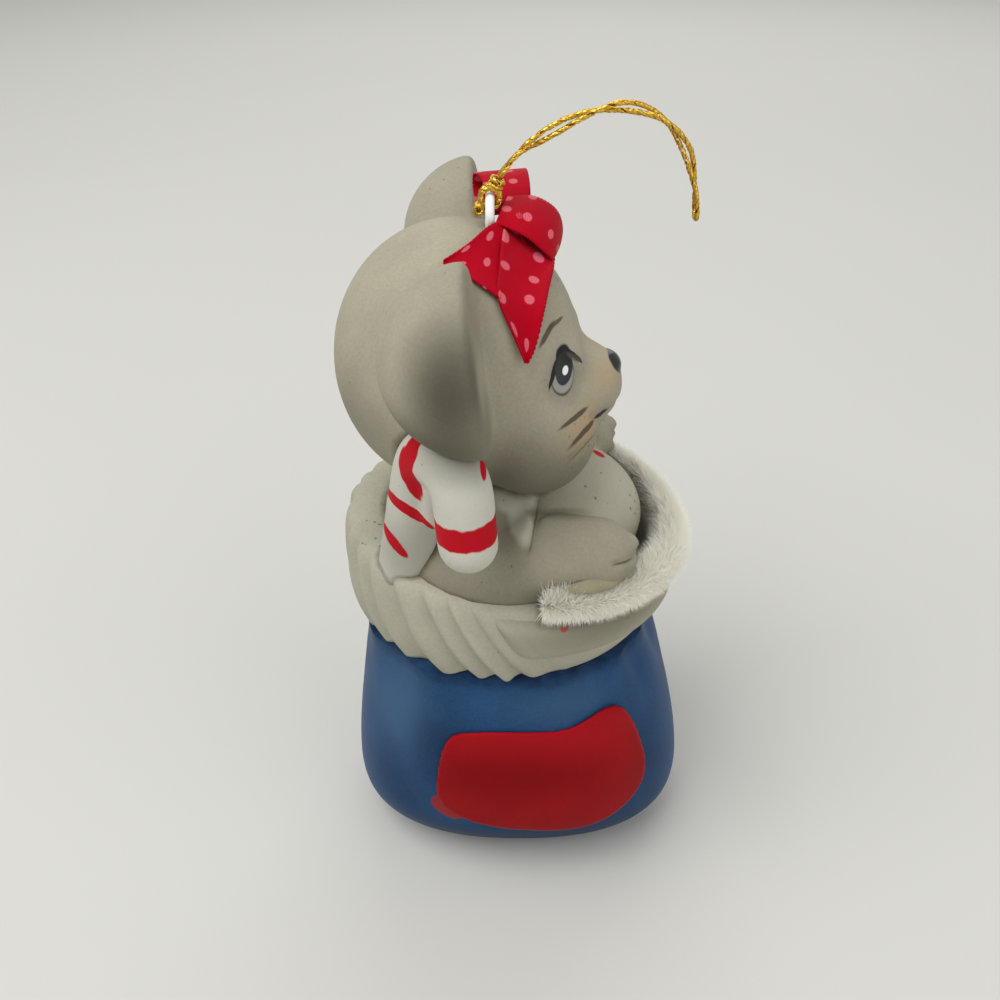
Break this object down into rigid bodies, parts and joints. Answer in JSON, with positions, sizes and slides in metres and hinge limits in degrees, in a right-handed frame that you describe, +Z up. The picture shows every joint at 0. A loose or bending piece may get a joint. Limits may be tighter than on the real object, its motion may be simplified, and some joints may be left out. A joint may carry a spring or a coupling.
{
  "type": "hanging mouse ornament",
  "caption": "Painted bisque mouse sitting in a sack with a patch, a hooked cane at its side, a pile trim round the collar, a ribbon bow and a swinging cord to hang it by.",
  "frame": {"origin": "middle of the sack's foot, on the surface that it stands on", "axes": "+X the way the mouse faces, +Y to its left, +Z up"},
  "size_m": [0.0528, 0.06, 0.115],
  "materials": {
    "blue_paint": "satin",
    "red_paint": "satin",
    "grey_paint": "matte",
    "white_paint": "satin",
    "wire": "satin",
    "pile": "matte",
    "glue": "satin",
    "gold_cord": "gloss",
    "red_ribbon": "satin"
  },
  "bodies": {
    "mouse": {"sack_body": "blue_paint", "sack_patch": "red_paint", "sack_collar": "grey_paint", "collar_hem": "grey_paint", "mouse_torso": "grey_paint", "mouse_head": "grey_paint", "right_ear": "grey_paint", "left_ear": "grey_paint", "right_arm": "grey_paint", "left_arm": "grey_paint", "candy_cane": "white_paint", "hanging_eye": "white_paint", "trim_wire": "wire", "chenille_trim": "pile", "glue_bead": "glue", "bow_knot": "red_ribbon", "bow_near_tail": "red_ribbon", "bow_far_tail": "red_ribbon", "bow_near_wing": "red_ribbon", "bow_front_loop": "red_ribbon", "bow_far_loop": "red_ribbon", "bow_glue": "glue"},
    "cord_loop": {"cord_hitch": "gold_cord", "hanging_cord": "gold_cord"}
  },
  "joints": [
    {"name": "loop_swing", "type": "hinge", "parent": "mouse", "child": "cord_loop", "pos_m": [-0.0044, 0, 0.10386], "axis": [0, 1, 0], "range_deg": [-140, 0]}
  ]
}
